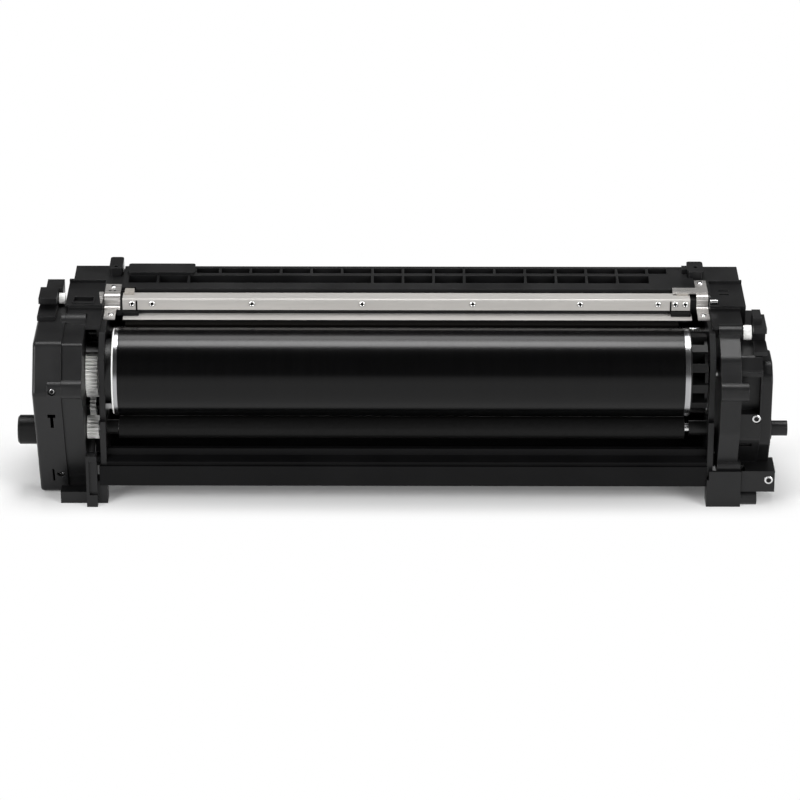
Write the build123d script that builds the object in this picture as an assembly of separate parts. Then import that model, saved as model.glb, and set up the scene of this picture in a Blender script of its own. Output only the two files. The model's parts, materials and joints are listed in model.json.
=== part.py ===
from build123d import *
import math
import os

# Drum unit of a wide-format laser printer, in millimetres. X runs along the drum, Y away from the
# drum's front, Z up. The origin is on the surface that the feet stand on, midway along and across.

# Drum
DRUM_Y = -24.0
DRUM_Z = 87.0
DRUM_R = 30.0
DRUM_WALL = 1.5
DRUM_LENGTH = 388.0
DRUM_SHAFT_R = 4.0
FLANGE_LIP = 1.0
FLANGE_DEPTH = 12.0
RIGHT_FLANGE_LUGS = 12

# Clearances
SEAT = 0.02
RUNNING = 0.05
ROLL_GAP = 0.3
PLAY = 0.7

# Stations along X, outwards from the drum's ends
WALL_T = 4.0
LEFT_WALL_GAP = 5.9
RIGHT_WALL_GAP = 13.0
GEAR_SIDE_GAP = 1.3
CASE_GAP = 0.6
CASE_DEPTH = 13.8
COVER_DEPTH = 19.3
COUPLING_REACH = 14.5
PLATE_GAP = 2.8
PLATE_T = 13.7
RIGHT_COVER_T = 14.5
END_PLATE_T = 7.7
STUB_REACH = 11.7
SHELL_T = 2.5

# Gears on the drum's flange and the charge roller
WHITE_MODULE = 0.8
DRUM_TEETH = 42
SMALL_TEETH = 18
WHITE_FACE = 8.0
IDLER_FACE = 4.0
HUB_R = 12.0

# Gears in the case
DRIVE_MODULE = 1.25
DRIVE_TEETH = 44
COUPLING_TEETH = 26
BRUSH_TEETH = 15
AUGER_TEETH = 18
DRIVE_FACE = 9.0
BACKLASH = 0.12
COUPLING_ANGLE = -90.0
BRUSH_ANGLE = 25.0
AUGER_ANGLE = -35.0
COUPLING_R = 10.0
COUPLING_SHAFT_R = 5.0
COUPLING_CHAMFER = 1.2
CUP_R = 7.5
CUP_DEPTH = 6.0
CUP_LUGS = 3
CUP_LUG_R = 2.0
STUB_R = 5.2

# Rollers, brush and auger
CHARGE_R = 7.7
CHARGE_SHAFT_R = 3.0
CHARGE_MARGIN = 2.5
CHARGE_ANGLE = -109.0
CLEANER_R = 3.5
CLEANER_SHAFT_R = 1.5
CLEANER_ANGLE = -30.0
BRUSH_SHAFT_R = 3.0
BRUSH_MARGIN = 8.0
AUGER_R = 7.0
AUGER_SHAFT_R = 2.5
AUGER_PITCH = 26.0
AUGER_FLIGHT_T = 1.6
AUGER_TURNS = 14
TROUGH_GAP = 0.8
TROUGH_T = 2.0
BEARING_R = 8.0
BEARING_T = 5.0
BLOCK_W = 12.0
CHARGE_HUB_R = 5.0
LEFT_HUB_REACH = 7.9
RIGHT_HUB_REACH = 12.4
LEAF_T = 0.4
LEAF_RISE = 2.2

# Blade assembly
METAL_T = 1.2
BRACKET_FRONT_Y = 9.0
BRACKET_DEPTH = 11.0
BRACKET_HEIGHT = 8.0
BRACKET_INSETS = (3.5, -2.5)
BRACKET_SLITS = (12.4, 11.3)
SLIT_W = 1.2
HOLDER_DROP = 11.0
HOLDER_FRONT_Y = -0.9
HOLDER_INSETS = (4.0, -3.5)
SEAL_INSETS = (4.0, 14.5, 10.8, -3.0)
SEAL_FRONT_Y = 5.0
SEAL_H = 2.7
PAD_INSETS = (4.5, 11.0, 6.5, -1.5)
PAD_FRONT_Y = 16.0
LEFT_PAD = (24.5, 1.4)
RIGHT_PAD = (20.0, 0.9)
BLADE_T = 2.0
BLADE_BACK_Y = 5.0
BLADE_MARGIN = 6.0
BLADE_SCREWS_AT = (-0.878, -0.527, -0.140, 0.249, 0.626, 0.900)
TAB_SCREW_INSETS = (10.0, 7.6, 0.8)
SCREW_DROP = 3.4
SCREW_R = 2.0
SCREW_SHANK_R = 1.2
SCREW_HEAD_T = 1.0

# Rear frame
DECK_OVER_TOP = 2.0
DECK_T = 12.0
DECK_FRONT_Y = 22.2
DECK_REAR_Y = 61.7
RAIL_DROP = 13.4
CELL_DEPTH = 9.0
CELL_RIB = 1.6
CELL_PITCH = 21.07
FIRST_RIB_INSET = 68.3
FRONT_ROW = (32.7, 45.5)
FRONT_ROW_INSETS = (6.0, 24.0)
PLAIN_CELLS = (0, 1, 2, 3, 4, 9)
REAR_ROW = (49.5, 58.0)
REAR_ROW_INSETS = (52.0, 11.0)
GUSSETS = 9
GUSSET_T = 2.0
COVER_PLATE_INSETS = (5.0, 51.0)
COVER_PLATE_T = 2.0

# Lower beam
BEAM_FRONT_Y = -52.0
BEAM_BOTTOM_Z = 14.4
BEAM_PANEL_TOP_Z = 29.0
BEAM_GROOVE_H = 3.0
BEAM_GROOVE_D = 2.0
BEAM_SLOPE_END_Y = -45.0
BEAM_LIP_TOP_Z = 39.1
BEAM_REAR_Y = -9.0
BEAM_REAR_Z = 52.0
BEAM_T = 2.5

# End walls and their tops
COVER_RISE = 32.6
TOP_OVER_COVER = 6.4
TOP_T = 2.4
LEVEL_DROPS = (5.0, 2.0, 0.0)
LEVEL_Y = (4.0, 44.0, 67.0)
LEVEL_RISE = 2.0
LEFT_LEVELS_X = (0.5, -1.4, 1.6)
RIGHT_LEVELS_X = (2.5, 6.5, 5.0)
LEFT_TOP_FRONT_Y = -26.0
RIGHT_TOP_FRONT_Y = -25.0
HANGER_T = 2.5
HANGER_H = 7.0
WALL_RIM = 22.0
WALL_REAR_Y = 58.0
ARM_DROP = 26.0
ARM_SETBACK = 2.0
SHOULDER = (18.0, -6.0)
RIGHT_WALL_HOLE_R = 13.5
GUARD_T = 2.0
SHIELD_R = 22.0
WEB_Y = 40.0
GUARD_FROM = 30.0
GUARD_TO = 116.0
STANDOFFS = ((-4.0, 112.0), (-30.0, 24.0), (36.0, 66.0))
STANDOFF_R = 4.6
EAR_RISE = 6.0
LEFT_EAR = (-2.2, 7.0, 48.5, 68.5)
RIGHT_EAR = (-10.0, 1.0, 43.0, 62.0)
EAR_HOLES_X = (2.6, -4.3)
EAR_HOLE_Y = 52.0
EAR_HOLE_R = 1.6
FOOT_H = 17.0
FRONT_FOOT = (-50.0, -40.0)
REAR_FOOT = (26.0, 38.0)

# Straps
STRAP_DROP = 8.0
STRAP_FRONT_Y = -8.0
STRAP_BEND = 3.0
LEFT_STRAP_REAR_Y = 32.0
RIGHT_STRAP_REAR_Y = 40.0
LEFT_STRAP_EDGES = (0.9, 11.6)
LEFT_LEG_EDGES = (1.4, 9.2)
RIGHT_STRAP_EDGES = (-6.0, 2.0)
LEFT_STRAP_SCREW = 3.4
RIGHT_STRAP_SCREW = -2.0
STRAP_ARM_LENGTH = 16.0
STRAP_ARM_Y = (17.0, 25.0)
STRAP_SIDE_GAP = 0.5
EARTH_PIN_R = 1.4

# Covers and plates, as offsets from the drum's axis, with their bends and screw bosses
LEFT_COVER = ((-10.0, -86.4), (-44.6, 3.0), (-26.0, COVER_RISE), (46.0, COVER_RISE), (64.0, 21.0),
              (68.0, 11.0), (68.0, -41.0), (48.0, -86.4))
RIGHT_PLATE = ((-22.0, -65.0), (-36.0, -29.0), (-38.0, 1.0), (-26.0, 21.0), (-10.0, 29.0), (26.0, 31.0),
               (58.0, 29.0), (68.0, 13.0), (68.0, -41.0), (48.0, -65.0))
RIGHT_COVER = ((-18.0, -53.0), (-28.0, -37.0), (-28.0, 13.0), (-20.0, 21.0), (58.0, 21.0), (66.0, 9.0),
               (66.0, -41.0), (44.0, -73.0), (-6.0, -73.0))
END_PLATE = ((-10.0, -65.0), (-22.0, -43.0), (-22.0, 5.0), (-12.0, 13.0), (8.0, 13.0), (38.0, -1.0),
             (50.0, -27.0), (48.0, -51.0), (28.0, -65.0))
COVER_BEND = 5.0
PLATE_BEND = 9.0
RIGHT_COVER_BEND = 4.0
END_PLATE_BEND = 8.0
COVER_EDGE_R = 2.0
CASE_INSET = 1.5
CASE_WALL_T = 3.0
LEFT_BOSSES = ((-10.0, 116.5, 6.5, 3.0), (-62.1, 91.0, 6.5, 9.4), (-34.0, 17.0, 4.6, 4.0))
RIGHT_BOSSES = ((-22.0, 114.6, 6.0, 2.0), (-58.0, 88.0, 6.5, 4.9), (-47.0, 28.0, 4.6, 2.0))
IDLER_PIN_R = 2.0
COLLAR_PIN_R = 1.8
LEFT_COLLAR = (14.0, 124.2)
LEFT_COLLAR_R = 3.8
RIGHT_COLLAR = (-20.0, 114.7)
RIGHT_COLLAR_R = 5.0


def at(y, z, shape):
    """A side-view shape moved to (Y, Z)."""
    return Pos(y, z) * shape


def slab(face, x0, x1):
    """A side-view outline (Y, Z) given its width along X."""
    return extrude(Plane.YZ.offset(x0) * face, x1 - x0, dir=(1, 0, 0))


def rod(y, z, r, x0, x1):
    """A round bar along X."""
    return slab(at(y, z, Circle(r)), x0, x1)


def block(x0, x1, y0, y1, z0, z1):
    """A box given by its faces."""
    return Pos((x0 + x1) / 2, (y0 + y1) / 2, (z0 + z1) / 2) * Box(x1 - x0, y1 - y0, z1 - z0)


def polar(centre, radius, degrees):
    """The point (Y, Z) at a distance and angle from a centre."""
    turn = math.radians(degrees)
    return (centre[0] + radius * math.cos(turn), centre[1] + radius * math.sin(turn))


def third_corner(a, b, from_a, from_b):
    """The point at given distances from two centres, on the front side of the line between them."""
    dy = b[0] - a[0]
    dz = b[1] - a[1]
    span = math.hypot(dy, dz)
    along = (from_a**2 - from_b**2 + span**2) / (2 * span)
    aside = math.sqrt(from_a**2 - along**2)
    return (a[0] + (along * dy + aside * dz) / span, a[1] + (along * dz - aside * dy) / span)


def direction(a, b):
    """The angle in degrees of the line from one centre to another."""
    return math.degrees(math.atan2(b[1] - a[1], b[0] - a[0]))


def mesh_phase(phase, teeth, centre, next_teeth, next_centre):
    """The phase in degrees that puts the next gear's teeth between those of the first."""
    line = direction(centre, next_centre)
    return line + 180.0 + (180.0 - teeth * (phase - line)) / next_teeth


# Axes (Y, Z) of everything that turns
DRUM = (DRUM_Y, DRUM_Z)
DRIVE_R = DRIVE_MODULE * DRIVE_TEETH / 2
WHITE_R = WHITE_MODULE * DRUM_TEETH / 2
SMALL_R = WHITE_MODULE * SMALL_TEETH / 2
COUPLING = polar(DRUM, DRIVE_R + DRIVE_MODULE * COUPLING_TEETH / 2, COUPLING_ANGLE)
BRUSH_DISTANCE = DRIVE_R + DRIVE_MODULE * BRUSH_TEETH / 2
BRUSH = polar(DRUM, BRUSH_DISTANCE, BRUSH_ANGLE)
BRUSH_R = BRUSH_DISTANCE - DRUM_R - ROLL_GAP
AUGER = polar(BRUSH, DRIVE_MODULE * (BRUSH_TEETH + AUGER_TEETH) / 2, AUGER_ANGLE)
CHARGE = polar(DRUM, DRUM_R + CHARGE_R + ROLL_GAP, CHARGE_ANGLE)
CLEANER = polar(CHARGE, CHARGE_R + CLEANER_R + ROLL_GAP, CLEANER_ANGLE)
IDLER = third_corner(CHARGE, DRUM, 2 * SMALL_R, WHITE_R + SMALL_R)

# Stations along X
DRUM_END = DRUM_LENGTH / 2
LEFT_WALL = -DRUM_END - LEFT_WALL_GAP
LEFT_WALL_OUT = LEFT_WALL - WALL_T
WHITE_X = LEFT_WALL_OUT - GEAR_SIDE_GAP
CASE_IN = WHITE_X - WHITE_FACE - CASE_GAP
CASE_OUT = CASE_IN - CASE_DEPTH
COVER_OUT = CASE_OUT - COVER_DEPTH
COUPLING_END = COVER_OUT - COUPLING_REACH
RIGHT_WALL = DRUM_END + RIGHT_WALL_GAP
RIGHT_WALL_OUT = RIGHT_WALL + WALL_T
PLATE_IN = RIGHT_WALL_OUT + PLATE_GAP
PLATE_OUT = PLATE_IN + PLATE_T
RIGHT_COVER_OUT = PLATE_OUT + RIGHT_COVER_T
END_PLATE_OUT = RIGHT_COVER_OUT + END_PLATE_T
DRIVE_X = COVER_OUT + SHELL_T + PLAY
CHARGE_END = DRUM_END - CHARGE_MARGIN
BRUSH_END = DRUM_END - BRUSH_MARGIN
BLADE_END = DRUM_END - BLADE_MARGIN
BRACKET_X = (BRACKET_INSETS[0] - DRUM_END, DRUM_END - BRACKET_INSETS[1])
HOLDER_X = (HOLDER_INSETS[0] - DRUM_END, DRUM_END - HOLDER_INSETS[1])
BLADE_SCREW_X = [share * DRUM_END for share in BLADE_SCREWS_AT]
TAB_SCREW_X = [TAB_SCREW_INSETS[0] - DRUM_END] + [DRUM_END - inset for inset in TAB_SCREW_INSETS[1:]]
LEFT_STRAP = (LEFT_WALL_OUT + LEFT_STRAP_EDGES[0], LEFT_WALL_OUT + LEFT_STRAP_EDGES[1])
RIGHT_STRAP = (RIGHT_WALL + RIGHT_STRAP_EDGES[0], RIGHT_WALL + RIGHT_STRAP_EDGES[1])
STRAP_PLACES = ((LEFT_STRAP_REAR_Y, LEFT_WALL + LEFT_STRAP_SCREW - METAL_T),
                (RIGHT_STRAP_REAR_Y, RIGHT_WALL + RIGHT_STRAP_SCREW))

# Heights
COVER_TOP_Z = DRUM_Z + COVER_RISE
TOP_Z = COVER_TOP_Z + TOP_OVER_COVER
DECK_Z = TOP_Z + DECK_OVER_TOP
EAR_Z = TOP_Z + EAR_RISE
STRAP_LOW_Z = TOP_Z - STRAP_DROP
HOLDER_TOP_Z = TOP_Z - HOLDER_DROP
RAIL_TOP_Z = TOP_Z - METAL_T
SCREW_Z = TOP_Z - SCREW_DROP

# Other places across
TROUGH_R = AUGER_R + TROUGH_GAP
STEP_Y = BRACKET_FRONT_Y + 4.0
TAB_Y = BRACKET_FRONT_Y + METAL_T
RAIL_Y = TAB_Y + METAL_T
GUARD_R = WHITE_R + 0.9 * WHITE_MODULE + PLAY
COVER_SCREWS = ((COVER_OUT + 13.3, -66.0, 91.4, 2.2), (COVER_OUT + 14.9, -37.0, 17.5, 2.2),
                (PLATE_OUT + 11.5, -51.0, 65.0, 3.0), (PLATE_OUT + 21.5, -52.0, 19.6, 3.0))


def tooth_half_angle(teeth, module, radius):
    """Half of an involute tooth's angle at a radius, in radians."""
    pressure = math.radians(20.0)
    pitch_r = module * teeth / 2
    base_r = pitch_r * math.cos(pressure)
    at_pitch = (math.pi * module / 2 - BACKLASH) / (2 * pitch_r)
    lean = math.acos(base_r / max(radius, base_r))
    return at_pitch + math.tan(pressure) - pressure - math.tan(lean) + lean


def gear_outline(teeth, module, phase):
    """A spur gear's side view about the origin, one tooth centred at the phase in degrees."""
    pitch_r = module * teeth / 2
    radii = (pitch_r - 1.2 * module, pitch_r, pitch_r + 0.9 * module)
    points = []
    for tooth in range(teeth):
        centre = math.radians(phase) + tooth * math.tau / teeth
        flank = [(radius, tooth_half_angle(teeth, module, radius)) for radius in radii]
        for radius, half in flank:
            points.append((radius * math.cos(centre - half), radius * math.sin(centre - half)))
        for radius, half in reversed(flank):
            points.append((radius * math.cos(centre + half), radius * math.sin(centre + half)))
    return Polygon(*points, align=None)


def gear(centre, teeth, module, phase, x0, x1, bore_r):
    """A spur gear on an axis, with its shaft bore."""
    outline = at(*centre, gear_outline(teeth, module, phase)) - at(*centre, Circle(bore_r))
    return slab(outline, x0, x1)


# Tooth phases, each gear meshed with the one before it
DRIVE_PHASE = 0.0
COUPLING_PHASE = mesh_phase(DRIVE_PHASE, DRIVE_TEETH, DRUM, COUPLING_TEETH, COUPLING)
BRUSH_PHASE = mesh_phase(DRIVE_PHASE, DRIVE_TEETH, DRUM, BRUSH_TEETH, BRUSH)
AUGER_PHASE = mesh_phase(BRUSH_PHASE, BRUSH_TEETH, BRUSH, AUGER_TEETH, AUGER)
WHITE_PHASE = 0.0
IDLER_PHASE = mesh_phase(WHITE_PHASE, DRUM_TEETH, DRUM, SMALL_TEETH, IDLER)
CHARGE_PHASE = mesh_phase(IDLER_PHASE, SMALL_TEETH, IDLER, SMALL_TEETH, CHARGE)


def drum_tube():
    """The photoconductor's aluminium tube."""
    ring = at(*DRUM, Circle(DRUM_R)) - at(*DRUM, Circle(DRUM_R - DRUM_WALL))
    return slab(ring, -DRUM_END, DRUM_END)


def drum_shaft():
    """The steel shaft that the drum turns on, from the gear case to the right cover."""
    return rod(*DRUM, DRUM_SHAFT_R, DRIVE_X, PLATE_OUT)


def drum_gear():
    """The left flange: a plug in the tube, a hub and the white gear in one moulding."""
    plug_r = DRUM_R - DRUM_WALL - SEAT
    plug = rod(*DRUM, plug_r, -DRUM_END, -DRUM_END + FLANGE_DEPTH)
    plug -= rod(*DRUM, plug_r - 3.0, -DRUM_END + 3.0, -DRUM_END + FLANGE_DEPTH)
    rim = rod(*DRUM, DRUM_R - FLANGE_LIP, -DRUM_END - FLANGE_LIP, -DRUM_END)
    hub = rod(*DRUM, HUB_R, WHITE_X, -DRUM_END + FLANGE_DEPTH)
    teeth = gear(DRUM, DRUM_TEETH, WHITE_MODULE, WHITE_PHASE, WHITE_X - WHITE_FACE, WHITE_X, HUB_R)
    dish = rod(*DRUM, HUB_R, WHITE_X - WHITE_FACE, WHITE_X)
    bore = rod(*DRUM, DRUM_SHAFT_R + SEAT, WHITE_X - WHITE_FACE - 1, -DRUM_END + FLANGE_DEPTH + 1)
    return plug + rim + hub + teeth + dish - bore


def drum_flange_right():
    """The right flange: a plug in the tube and a drum of radial lugs outside it."""
    plug_r = DRUM_R - DRUM_WALL - SEAT
    plug = rod(*DRUM, plug_r, DRUM_END - FLANGE_DEPTH, DRUM_END)
    plug -= rod(*DRUM, plug_r - 3.0, DRUM_END - FLANGE_DEPTH, DRUM_END - 3.0)
    rim = rod(*DRUM, DRUM_R - FLANGE_LIP, DRUM_END, DRUM_END + FLANGE_LIP)
    lug_out = RIGHT_WALL - GEAR_SIDE_GAP
    hub = rod(*DRUM, HUB_R, DRUM_END - FLANGE_DEPTH, lug_out)
    lug = Pos(0, (HUB_R + DRUM_R - 3.0) / 2) * Rectangle(6.0, DRUM_R - 3.0 - HUB_R + 1.0)
    lugs = Sketch() + [Rot(0, 0, k * 360.0 / RIGHT_FLANGE_LUGS) * lug for k in range(RIGHT_FLANGE_LUGS)]
    star = slab(at(*DRUM, lugs), DRUM_END, lug_out)
    disc = rod(*DRUM, DRUM_R - 5.0, lug_out - 2.0, lug_out)
    bore = rod(*DRUM, DRUM_SHAFT_R + SEAT, DRUM_END - FLANGE_DEPTH - 1, lug_out + 1)
    return plug + rim + hub + star + disc - bore


def drive_gear():
    """The gear on the drum shaft that the coupling drives."""
    wheel = gear(DRUM, DRIVE_TEETH, DRIVE_MODULE, DRIVE_PHASE, DRIVE_X, DRIVE_X + DRIVE_FACE,
                 DRUM_SHAFT_R + SEAT)
    web_r = DRIVE_R - 4.0
    recess = at(*DRUM, Circle(web_r)) - at(*DRUM, Circle(HUB_R - 3.0))
    return wheel - slab(recess, DRIVE_X + 5.0, DRIVE_X + DRIVE_FACE)


def small_gear(centre, teeth, phase, shaft_r):
    """A pinion in the gear case."""
    return gear(centre, teeth, DRIVE_MODULE, phase, DRIVE_X, DRIVE_X + DRIVE_FACE, shaft_r + SEAT)


def white_small_gear(centre, phase, face, shaft_r):
    """A white pinion in the plane of the drum's gear."""
    middle = WHITE_X - WHITE_FACE / 2
    return gear(centre, SMALL_TEETH, WHITE_MODULE, phase, middle - face / 2, middle + face / 2,
                shaft_r + RUNNING)


def bearing_ring(shaft_r, x0, x1):
    """A plain bearing ring on the drum's axis."""
    ring = at(*DRUM, Circle(BEARING_R)) - at(*DRUM, Circle(shaft_r + RUNNING))
    return slab(ring, x0, x1)


def charge_roller():
    """The conductive rubber sleeve that charges the drum."""
    ring = at(*CHARGE, Circle(CHARGE_R)) - at(*CHARGE, Circle(CHARGE_SHAFT_R + SEAT))
    return slab(ring, -CHARGE_END, CHARGE_END)


def charge_shaft():
    """The charge roller's steel core, carried at both walls, with the white gear at its left end."""
    return rod(*CHARGE, CHARGE_SHAFT_R, WHITE_X - WHITE_FACE, RIGHT_WALL_OUT)


def cleaner_roller():
    """The sponge roller that wipes the charge roller."""
    ring = at(*CLEANER, Circle(CLEANER_R)) - at(*CLEANER, Circle(CLEANER_SHAFT_R + SEAT))
    return slab(ring, -CHARGE_END, CHARGE_END)


def cleaner_shaft():
    """The sponge roller's core."""
    return rod(*CLEANER, CLEANER_SHAFT_R, LEFT_WALL_OUT, RIGHT_WALL_OUT)


def brush_roller():
    """The fur of the cleaning brush."""
    ring = at(*BRUSH, Circle(BRUSH_R)) - at(*BRUSH, Circle(BRUSH_SHAFT_R + SEAT))
    return slab(ring, -BRUSH_END, BRUSH_END)


def brush_shaft():
    """The brush's core, from the gear case to the right wall."""
    return rod(*BRUSH, BRUSH_SHAFT_R, DRIVE_X, RIGHT_WALL_OUT)


def waste_auger():
    """The screw that carries waste toner to the left end: a core with a helical flight."""
    core = rod(*AUGER, AUGER_SHAFT_R, DRIVE_X, RIGHT_WALL_OUT)
    length = AUGER_PITCH * AUGER_TURNS
    path = Helix(AUGER_PITCH, length, (AUGER_R + AUGER_SHAFT_R) / 2)
    section = Plane(origin=path @ 0, x_dir=(1, 0, 0), z_dir=path % 0)
    blade = section * Rectangle(AUGER_R - AUGER_SHAFT_R + 1.0, AUGER_FLIGHT_T)
    flight = sweep(blade, path=path, is_frenet=True)
    place = Pos(-length / 2, AUGER[0], AUGER[1]) * Rot(0, 90, 0)
    return core + place * flight


def charge_bearing(x, hub_x):
    """A sliding bearing block for the charge roller, in a slot of an end wall, with a hub inwards."""
    y, z = CHARGE
    block_x = min(x, hub_x), max(x, hub_x)
    bearing = slab(at(y, z, Rectangle(BLOCK_W - 2 * RUNNING, BLOCK_W)), x, x + WALL_T)
    bearing += rod(y, z, CHARGE_HUB_R, *block_x)
    return bearing - rod(y, z, CHARGE_SHAFT_R + RUNNING, block_x[0] - WALL_T, block_x[1] + WALL_T)


def charge_leaf(x):
    """The bent leaf spring under a charge bearing."""
    y, z = CHARGE
    top = z - BLOCK_W / 2
    half = BLOCK_W / 2 - 1.0
    line = ThreePointArc((y - half, top - 2.0), (y, top - LEAF_T / 2 - SEAT), (y + half, top - 2.0))
    return slab(trace(line, LEAF_T), x + 0.5, x + WALL_T - 0.5)


def drive_coupling():
    """The input shaft with its cup outside the cover, lugged inside for the machine's drive."""
    cup = rod(*COUPLING, COUPLING_R, COUPLING_END, COVER_OUT - RUNNING)
    cup = chamfer(cup.faces().sort_by(Axis.X)[0].edges(), COUPLING_CHAMFER)
    cup -= rod(*COUPLING, CUP_R, COUPLING_END, COUPLING_END + CUP_DEPTH)
    for k in range(CUP_LUGS):
        place = polar(COUPLING, CUP_R - CUP_LUG_R / 2, 90.0 + k * 360.0 / CUP_LUGS)
        cup += rod(*place, CUP_LUG_R, COUPLING_END + COUPLING_CHAMFER, COUPLING_END + CUP_DEPTH)
    return cup + rod(*COUPLING, COUPLING_SHAFT_R, COVER_OUT - RUNNING, CASE_IN)


def bent_outline(offsets, bend):
    """A side view given by its corners' offsets from the drum's axis, with rounded bends."""
    outline = Polygon(*[(DRUM_Y + y, DRUM_Z + z) for y, z in offsets], align=None)
    return fillet(outline.vertices(), bend)


def left_gear_cover():
    """The outer shell over the gears, open towards the case, with its screw bosses."""
    outline = bent_outline(LEFT_COVER, COVER_BEND)
    shell = slab(outline, COVER_OUT, CASE_OUT)
    shell = fillet(shell.faces().sort_by(Axis.X)[0].edges(), COVER_EDGE_R)
    shell -= slab(offset(outline, -SHELL_T), COVER_OUT + SHELL_T, CASE_OUT)
    for y, z, r, reach in LEFT_BOSSES:
        shell += rod(y, z, r, CASE_OUT - reach, CASE_OUT)
    shell += rod(*COUPLING, COUPLING_SHAFT_R + 3.0, COVER_OUT + 1.0, DRIVE_X - PLAY / 2)
    shell -= rod(*COUPLING, COUPLING_SHAFT_R + RUNNING, COVER_OUT, DRIVE_X)
    latch_x = COVER_OUT + 9.2
    shell -= block(latch_x, latch_x + 5.3, -62, -54, 69, 72)
    shell -= block(latch_x + 1.6, latch_x + 3.7, -62, -52, 60, 69)
    shell -= block(latch_x, latch_x + 1.3, -44, -33, 11, 22)
    return shell - screw_seats(COVER_SCREWS[:2])


def left_gear_case():
    """The tray that carries the gears' shafts, with three screw bosses outside."""
    outline = offset(bent_outline(LEFT_COVER, COVER_BEND), -CASE_INSET)
    tray = slab(outline, CASE_OUT, CASE_IN)
    for y, z, r, _ in LEFT_BOSSES:
        tray += rod(y, z, r, CASE_OUT, CASE_IN)
    tray -= slab(offset(outline, -CASE_WALL_T), CASE_OUT, CASE_IN - WALL_T)
    tray += rod(*DRUM, BEARING_R + CASE_WALL_T, CASE_IN - BEARING_T - 1.0, CASE_IN)
    tray -= rod(*DRUM, BEARING_R + SEAT, CASE_IN - BEARING_T - 1.0, CASE_IN)
    tray += rod(*IDLER, IDLER_PIN_R, CASE_IN, WHITE_X)
    for centre, radius in ((COUPLING, COUPLING_SHAFT_R), (BRUSH, BRUSH_SHAFT_R), (AUGER, AUGER_SHAFT_R)):
        tray -= rod(*centre, radius + RUNNING, CASE_OUT, CASE_IN)
    return tray


def wall_outline(hole_r):
    """An end wall's side view: a hole round the drum's axis, slots for the charge bearing and shafts."""
    arm_y = BEAM_FRONT_Y + ARM_SETBACK
    arm_top = DRUM_Z - ARM_DROP
    rim_y = DRUM_Y - WALL_RIM
    outline = Polygon((arm_y, BEAM_BOTTOM_Z), (arm_y, arm_top), (rim_y, arm_top),
                      (rim_y, DRUM_Z + SHOULDER[0]), (DRUM_Y + SHOULDER[1], STRAP_LOW_Z),
                      (STEP_Y, STRAP_LOW_Z), (STEP_Y, TOP_Z), (WALL_REAR_Y, TOP_Z), (WALL_REAR_Y, 62),
                      (REAR_FOOT[1], BEAM_BOTTOM_Z), align=None)
    outline = fillet(outline.vertices().sort_by(Axis.Y)[-2:], 6.0)
    outline -= at(*DRUM, Circle(hole_r))
    slot_bottom = CHARGE[1] - BLOCK_W / 2 - LEAF_RISE
    outline -= box_face(CHARGE[0] - BLOCK_W / 2, CHARGE[0] + BLOCK_W / 2, slot_bottom, arm_top + 1.0)
    holes = ((CLEANER, CLEANER_SHAFT_R), (BRUSH, BRUSH_SHAFT_R), (AUGER, AUGER_SHAFT_R))
    for centre, radius in holes:
        outline -= at(*centre, Circle(radius + RUNNING))
    return outline


def guard_outline():
    """The arch over the drum's white gear, in the side view."""
    ring = at(*DRUM, Circle(GUARD_R + GUARD_T)) - at(*DRUM, Circle(GUARD_R))
    reach = 2 * (GUARD_R + GUARD_T)
    middle = (GUARD_FROM + GUARD_TO) / 2
    fan = Polygon(DRUM, *[polar(DRUM, reach, turn) for turn in (GUARD_FROM, middle, GUARD_TO)], align=None)
    return ring & fan


def ear(wall_x, edges, hole_x):
    """A rear lug with a screw hole, on the top of an end wall."""
    tab = block(wall_x + edges[0], wall_x + edges[1], edges[2], edges[3], TOP_Z - TOP_T, EAR_Z)
    tab = fillet(tab.edges().filter_by(Axis.Z), 2.0)
    return tab - Pos(wall_x + hole_x, EAR_HOLE_Y, TOP_Z) * extrude(Circle(EAR_HOLE_R), EAR_Z - TOP_Z)


def top_plate(inner_x, outer_x, front_y):
    """The stepped top of an end frame, in three levels that rise to the rear."""
    plate = Part()
    start = front_y
    for drop, end, reach in zip(LEVEL_DROPS, LEVEL_Y, outer_x):
        x0, x1 = min(inner_x, reach), max(inner_x, reach)
        top = TOP_Z - drop
        plate += block(x0, x1, start, end, top - TOP_T, top)
        if end < LEVEL_Y[-1]:
            plate += block(x0, x1, end - TOP_T, end, top - TOP_T, top + LEVEL_RISE)
        start = end - TOP_T / 2
    return plate


def hanger(x0, x1):
    """The rib that joins the top's levels to an end wall."""
    low = STRAP_LOW_Z - HANGER_H
    rib = block(x0, x1, -20, LEVEL_Y[0], low, TOP_Z - LEVEL_DROPS[0] - TOP_T / 2)
    return rib + block(x0, x1, LEVEL_Y[0] - 1, REAR_FOOT[1], low, TOP_Z - LEVEL_DROPS[1] - TOP_T / 2)


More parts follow.
